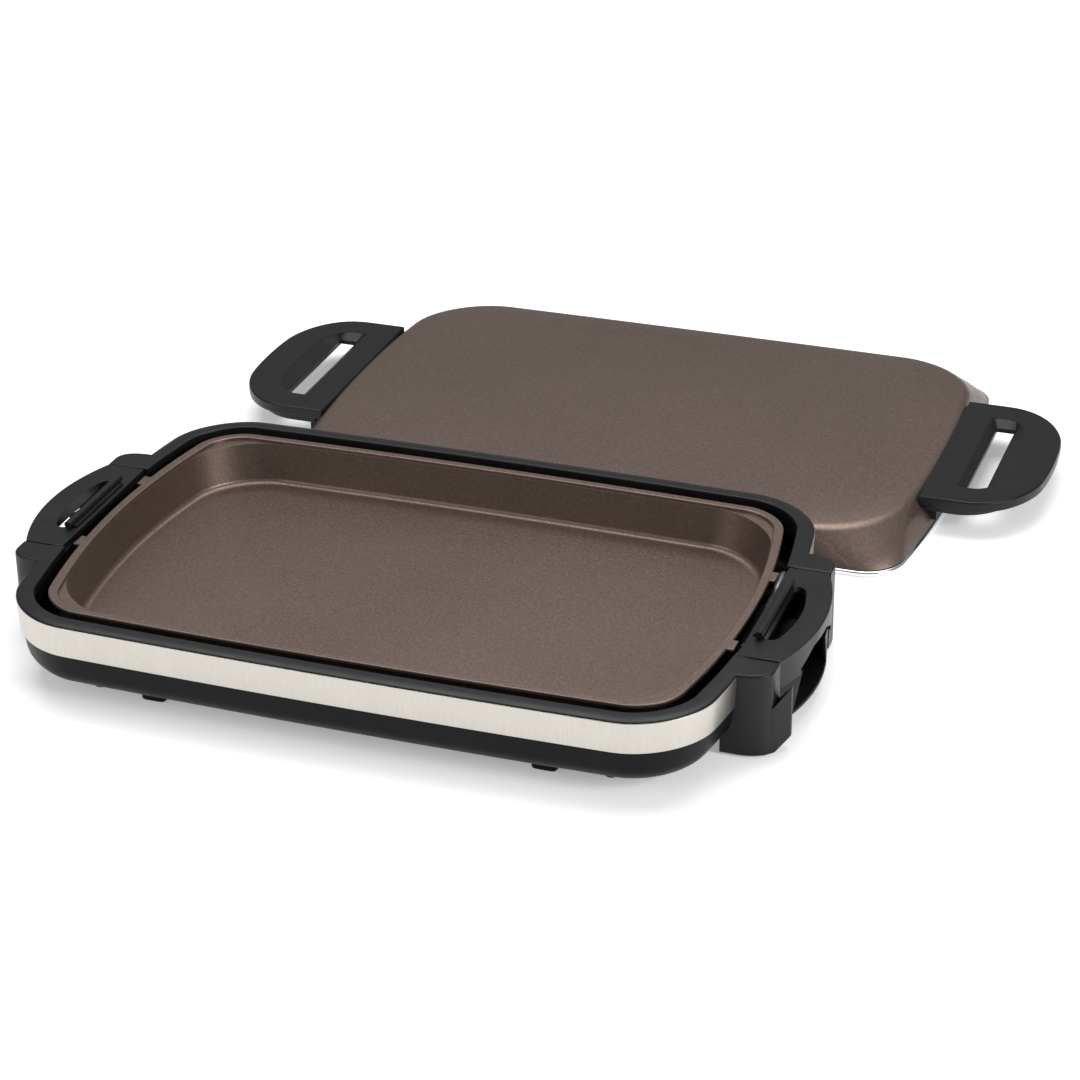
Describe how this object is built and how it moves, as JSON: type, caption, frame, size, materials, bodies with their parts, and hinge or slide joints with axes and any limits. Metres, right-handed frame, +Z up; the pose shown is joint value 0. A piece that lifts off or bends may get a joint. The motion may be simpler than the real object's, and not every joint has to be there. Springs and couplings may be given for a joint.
{
  "type": "electric griddle",
  "caption": "Countertop electric griddle: moulded body with steel band, lift-out heater and deep coated cooking plate, with its shallow D-handled lid lying behind it.",
  "frame": {"origin": "middle of the box around the griddle and the lid lying behind it, on the plane both stand on", "axes": "+Z up, +Y from the griddle towards the lid behind it, +X to the right along the griddle's length, towards the end with the plug port"},
  "size_m": [0.6738, 0.7086, 0.0678],
  "materials": {
    "body_plastic": "satin moulded phenolic-like plastic, charcoal black",
    "lower_plastic": "satin moulded plastic, near black",
    "steel_band": "warm stainless, fine vertical brushing",
    "brown_coating": "metallic brown non-stick coating with a fine sparkle",
    "rim_steel": "polished rolled edge",
    "grip_plastic": "satin moulded plastic, charcoal black",
    "fasteners": "plain zinc-plated steel",
    "shield_metal": "thin bright aluminised sheet",
    "element_sheath": "grey sheathed element tube",
    "foot_rubber": "soft matt rubber",
    "pin_brass": "bright brass"
  },
  "bodies": {
    "body": {"base_tub": "lower_plastic", "bezel_frame": "body_plastic", "band_front": "steel_band", "band_rear": "steel_band", "handle_left": "body_plastic", "handle_right": "body_plastic", "rail_left": "body_plastic", "rail_right": "body_plastic", "guard_left": "lower_plastic", "guard_right": "lower_plastic", "plug_port_sleeve": "lower_plastic", "rubber_foot_front_left": "foot_rubber", "rubber_foot_front_right": "foot_rubber", "rubber_foot_rear_left": "foot_rubber", "rubber_foot_rear_right": "foot_rubber", "block_foot_front_left": "lower_plastic", "block_foot_front_right": "lower_plastic", "block_foot_rear_left": "lower_plastic", "block_foot_rear_right": "lower_plastic", "base_screw_front_left": "fasteners", "base_screw_front_right": "fasteners", "base_screw_rear_left": "fasteners", "base_screw_rear_right": "fasteners"},
    "heater": {"heat_shield": "shield_metal", "heating_element": "element_sheath", "element_support_left": "fasteners", "element_support_right": "fasteners", "terminal_block": "lower_plastic", "terminal_pin_front": "pin_brass", "terminal_pin_rear": "pin_brass", "sensor_sleeve": "shield_metal"},
    "plate": {"cooking_plate": "brown_coating"},
    "lid": {"lid_shell": "brown_coating", "lid_rim": "rim_steel", "lid_handle_left": "grip_plastic", "lid_handle_right": "grip_plastic", "lid_screw_left_front": "fasteners", "lid_screw_left_rear": "fasteners", "lid_screw_right_front": "fasteners", "lid_screw_right_rear": "fasteners"}
  },
  "joints": [
    {"name": "heater_lift", "type": "slide", "parent": "body", "child": "heater", "axis": [0, 0, 1], "range_m": [0, 0.12]},
    {"name": "plate_lift", "type": "slide", "parent": "heater", "child": "plate", "axis": [0, 0, 1], "range_m": [0, 0.12]},
    {"name": "lid_lift", "type": "slide", "parent": "body", "child": "lid", "axis": [0, 0, 1], "range_m": [0, 0.2]}
  ]
}
